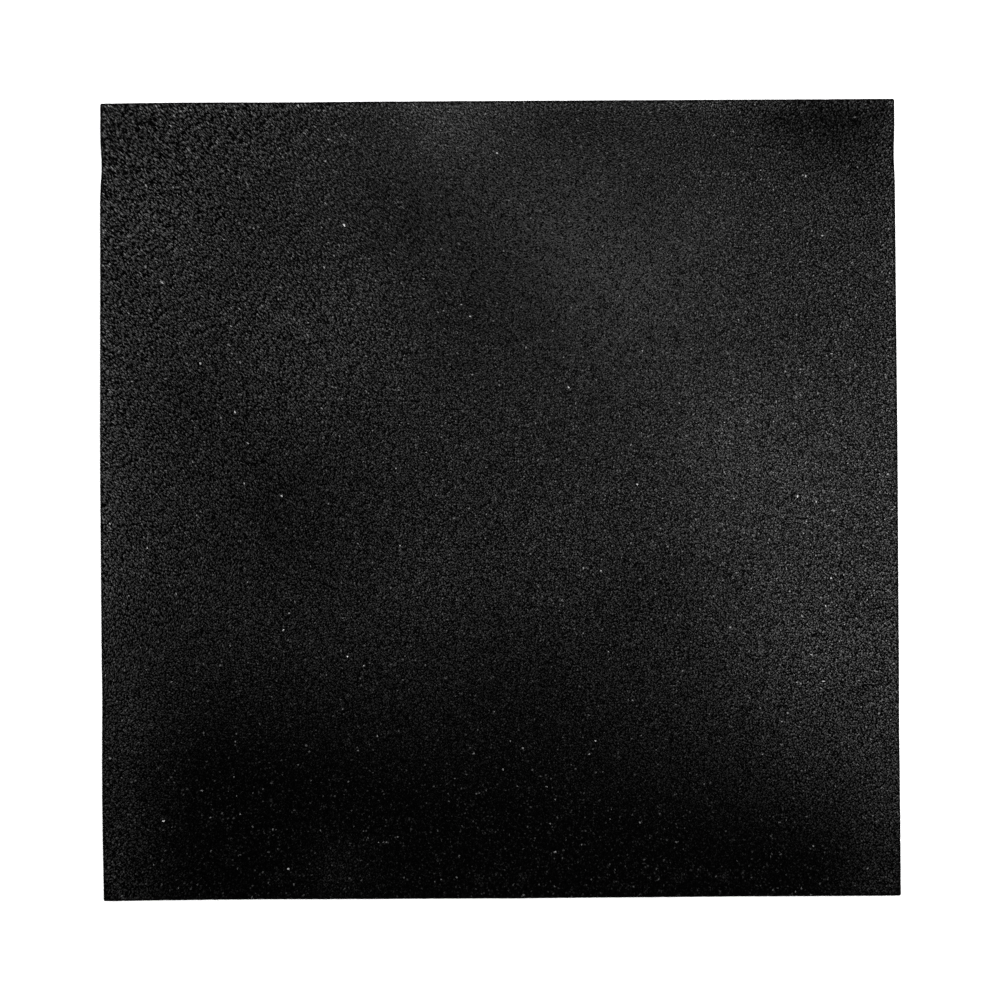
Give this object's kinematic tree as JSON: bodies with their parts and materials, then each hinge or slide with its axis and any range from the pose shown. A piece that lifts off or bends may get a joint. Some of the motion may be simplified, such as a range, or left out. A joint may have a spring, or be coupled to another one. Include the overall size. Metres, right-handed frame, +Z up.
{
  "type": "rubber gym floor tile",
  "caption": "Square slab of pressed black crumb rubber with flat faces and straight butt edges, laid edge to edge as shock-absorbing gym flooring.",
  "frame": {"origin": "middle of the underside, which rests on the floor", "axes": "+Z up out of the walking face, X and Y along the tile's straight sides"},
  "size_m": [1, 1, 0.02],
  "materials": {
    "crumb_rubber": "matt, fine-grained pressed crumb"
  },
  "bodies": {
    "root": {"tile": "crumb_rubber"}
  },
  "joints": []
}
